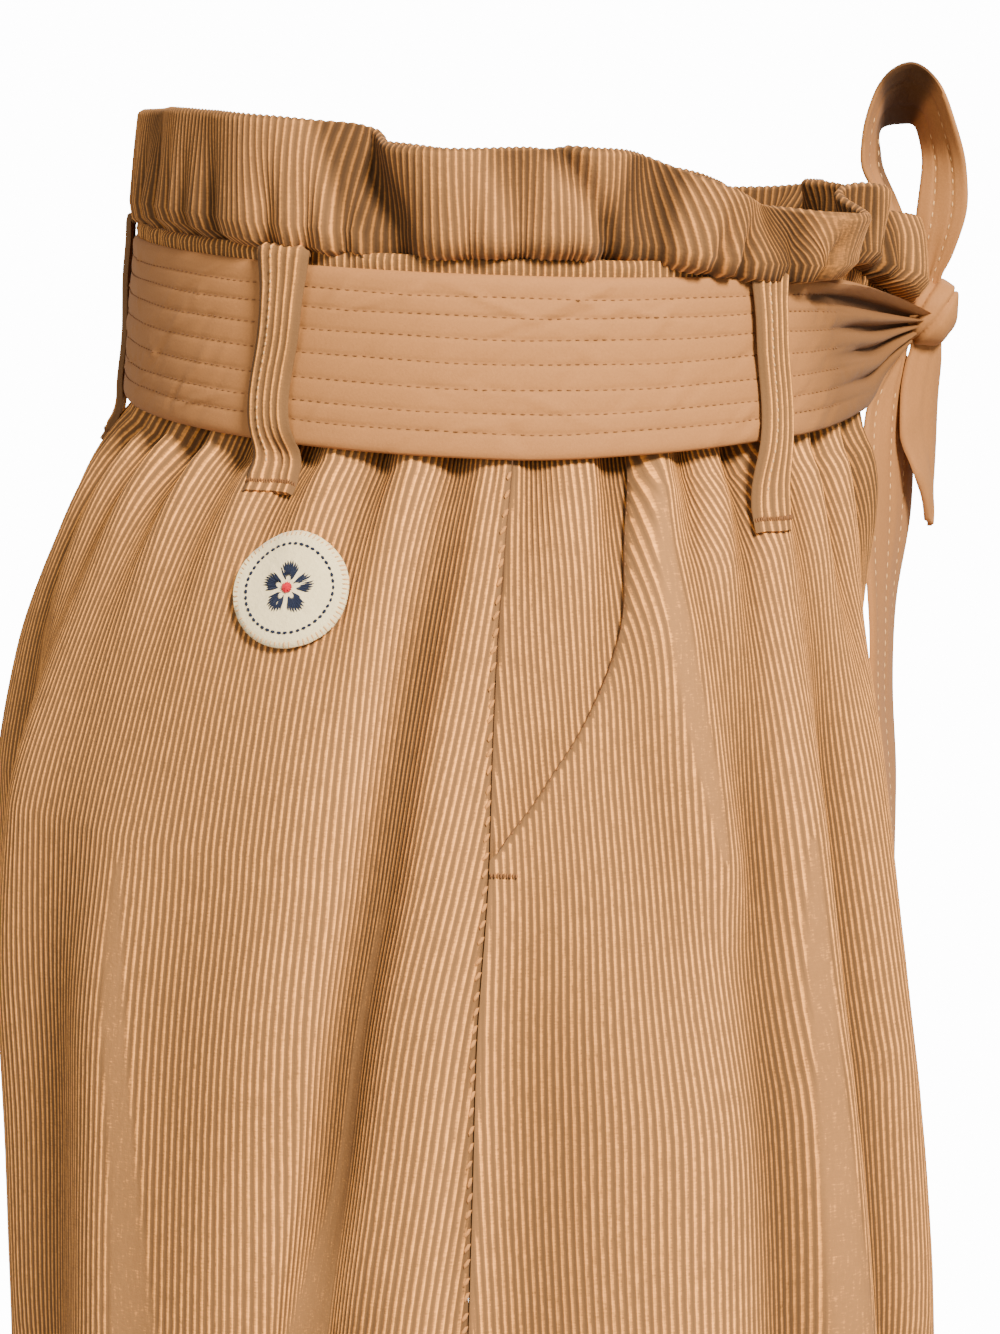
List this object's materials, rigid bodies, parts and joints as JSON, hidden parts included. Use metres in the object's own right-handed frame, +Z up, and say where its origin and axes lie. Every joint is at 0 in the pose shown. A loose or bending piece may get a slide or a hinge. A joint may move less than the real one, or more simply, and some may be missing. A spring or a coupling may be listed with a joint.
{
  "type": "corduroy shorts",
  "caption": "High-waisted corduroy shorts, filled out as worn and hollow, with a gathered paper-bag waist, slant pockets, a tied sash belt and a round hip patch.",
  "frame": {"origin": "centre of the waist, at the middle of the belt's height", "axes": "+Z up, from the legs to the waist; -Y is the front of the garment; -X is the wearer's right side"},
  "size_m": [0.4023, 0.2678, 0.4916],
  "materials": {
    "corduroy": "fine-ribbed cotton pile, matt, camel",
    "sash": "plain woven cotton, matt, tan, with rows of topstitching",
    "felt": "matt cream felt"
  },
  "bodies": {
    "root": {"back_left": "corduroy", "back_right": "corduroy", "belt": "sash", "belt_loop_centre_back": "corduroy", "belt_loop_left_back": "corduroy", "belt_loop_left_front": "corduroy", "belt_loop_right_back": "corduroy", "belt_loop_right_front": "corduroy", "bow_loop": "sash", "front_left": "corduroy", "front_right": "corduroy", "knot": "sash", "patch": "felt", "pocket_facing_left": "corduroy", "pocket_facing_right": "corduroy", "ruffle": "corduroy", "tail_long": "sash", "tail_short": "sash", "waistband": "corduroy"}
  },
  "joints": []
}
